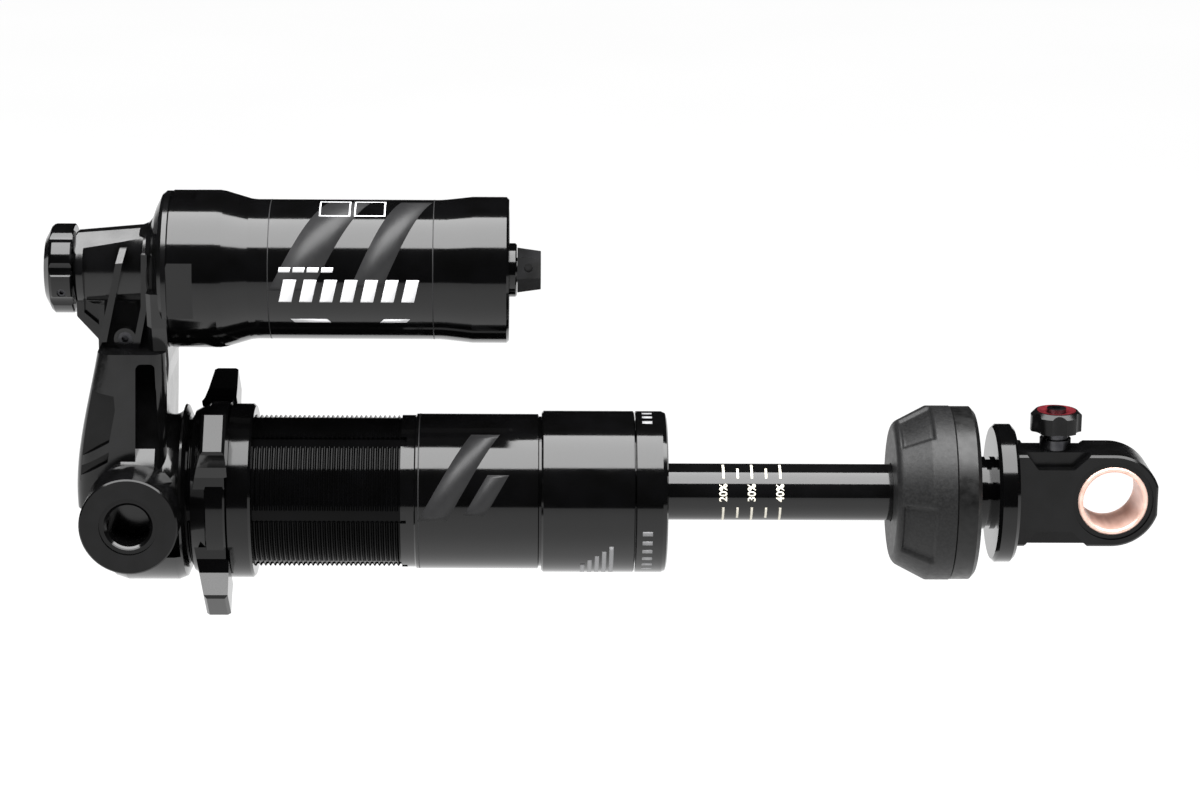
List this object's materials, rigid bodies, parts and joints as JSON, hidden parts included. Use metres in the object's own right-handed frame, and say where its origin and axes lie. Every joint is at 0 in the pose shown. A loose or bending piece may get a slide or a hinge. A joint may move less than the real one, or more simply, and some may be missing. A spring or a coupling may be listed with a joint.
{
  "type": "rear shock",
  "caption": "Trunnion-mount rear shock: threaded damper body with preload collar, piggyback reservoir, sliding shaft with bumper, lower eyelet. Shown without its coil spring.",
  "frame": {"origin": "centre of the lower eyelet's bore", "axes": "+X along the stroke axis, away from the damper body; +Y along the eyelet and trunnion bores; +Z towards the reservoir"},
  "size_m": [0.2332, 0.054, 0.0872],
  "materials": {
    "black_anodised": "satin",
    "gloss_anodised": "gloss",
    "shaft_coating": "polished",
    "bush_polymer": "satin",
    "red_anodised": "satin",
    "steel": "satin",
    "dark_steel": "satin",
    "bare_aluminium": "satin",
    "brass": "satin",
    "foam": "matt",
    "seal_rubber": "matt",
    "glide_ptfe": "satin",
    "black_plastic": "matt"
  },
  "bodies": {
    "shaft_assembly": {"shaft": "shaft_coating", "lower_eyelet": "black_anodised", "eyelet_bush": "bush_polymer", "retainer_seat": "gloss_anodised", "rebound_bushing": "dark_steel", "piston": "bare_aluminium", "compression_shims": "steel", "rebound_shims": "steel", "piston_nut": "steel"},
    "glide": {"piston_band": "glide_ptfe"},
    "bumper": {"bumper": "foam", "bumper_cup": "foam"},
    "rebound_adjuster": {"rebound_knob": "black_anodised", "rebound_knob_ring": "red_anodised", "rebound_knob_screw": "dark_steel", "rebound_spindle": "steel"},
    "rebound_rod": {"rebound_rod": "steel"},
    "damper": {"damper_tube": "black_anodised", "lower_sleeve": "gloss_anodised", "seal_head": "gloss_anodised", "shaft_bush": "bush_polymer", "shaft_seal": "seal_rubber", "dust_wiper": "seal_rubber", "seal_head_oring": "seal_rubber", "top_out_spring": "steel", "damper_head": "gloss_anodised", "bleed_screw": "dark_steel", "can_oring": "seal_rubber", "reservoir_can": "gloss_anodised", "reservoir_end_cap": "black_anodised", "end_cap_oring": "seal_rubber", "snap_ring": "steel", "charge_valve": "black_anodised", "valve_core": "brass", "compression_housing": "black_anodised", "compression_oring": "seal_rubber", "base_valve_piston": "bare_aluminium", "base_valve_shims": "steel", "base_valve_bolt": "steel"},
    "valve_cap": {"valve_cap": "black_plastic"},
    "floating_piston": {"floating_piston": "bare_aluminium", "floating_piston_seal": "seal_rubber", "floating_piston_band": "glide_ptfe"},
    "spring_ring": {"spring_ring": "gloss_anodised"},
    "preload_collar": {"preload_nut": "gloss_anodised", "collar_detent_ball": "steel", "collar_detent_screw": "dark_steel"},
    "compression_adjuster": {"compression_knob": "gloss_anodised", "compression_knob_screw": "dark_steel"},
    "compression_needle": {"compression_needle": "steel"}
  },
  "joints": [
    {"name": "shaft_twist", "type": "hinge", "parent": "shaft_assembly", "child": "glide", "pos_m": [0, 0, 0], "axis": [1, 0, 0], "continuous": true},
    {"name": "stroke", "type": "slide", "parent": "glide", "child": "damper", "axis": [1, 0, 0], "range_m": [0, 0.06], "stiffness_N_per_m": 400, "springref_m": -0.3, "deforming": ["bumper"]},
    {"name": "bumper_shift", "type": "slide", "parent": "shaft_assembly", "child": "bumper", "axis": [1, 0, 0], "range_m": [0, 0.0037]},
    {"name": "floating_piston_slide", "type": "slide", "parent": "damper", "child": "floating_piston", "axis": [1, 0, 0], "range_m": [0, 0.014]},
    {"name": "preload_travel", "type": "slide", "parent": "damper", "child": "spring_ring", "axis": [1, 0, 0], "range_m": [0, 0.0301]},
    {"name": "preload_turn", "type": "hinge", "parent": "spring_ring", "child": "preload_collar", "pos_m": [-0.188, 0, 0], "axis": [1, 0, 0], "range_deg": [0, 10800]},
    {"name": "rebound_turn", "type": "hinge", "parent": "shaft_assembly", "child": "rebound_adjuster", "pos_m": [-0.0119, 0, 0.016], "axis": [0, 0, 1], "range_deg": [0, 270]},
    {"name": "rebound_rod_slide", "type": "slide", "parent": "shaft_assembly", "child": "rebound_rod", "axis": [1, 0, 0], "range_m": [-0.001, 0]},
    {"name": "compression_turn", "type": "hinge", "parent": "damper", "child": "compression_adjuster", "pos_m": [-0.221, 0, 0.048], "axis": [1, 0, 0], "range_deg": [0, 240]},
    {"name": "compression_needle_slide", "type": "slide", "parent": "damper", "child": "compression_needle", "axis": [1, 0, 0], "range_m": [0, 0.0012]},
    {"name": "valve_cap_off", "type": "slide", "parent": "damper", "child": "valve_cap", "axis": [1, 0, 0], "range_m": [0, 0.012]}
  ],
  "couplings": [
    {"joint": "bumper_shift", "follows": "stroke", "ratio": 0.06},
    {"joint": "floating_piston_slide", "follows": "stroke", "ratio": 0.2304},
    {"joint": "preload_travel", "follows": "preload_turn", "m_per_rad": 0.00015915},
    {"joint": "rebound_turn", "follows": "rebound_rod_slide", "rad_per_m": -4712.3},
    {"joint": "compression_turn", "follows": "compression_needle_slide", "rad_per_m": 3490.6}
  ]
}
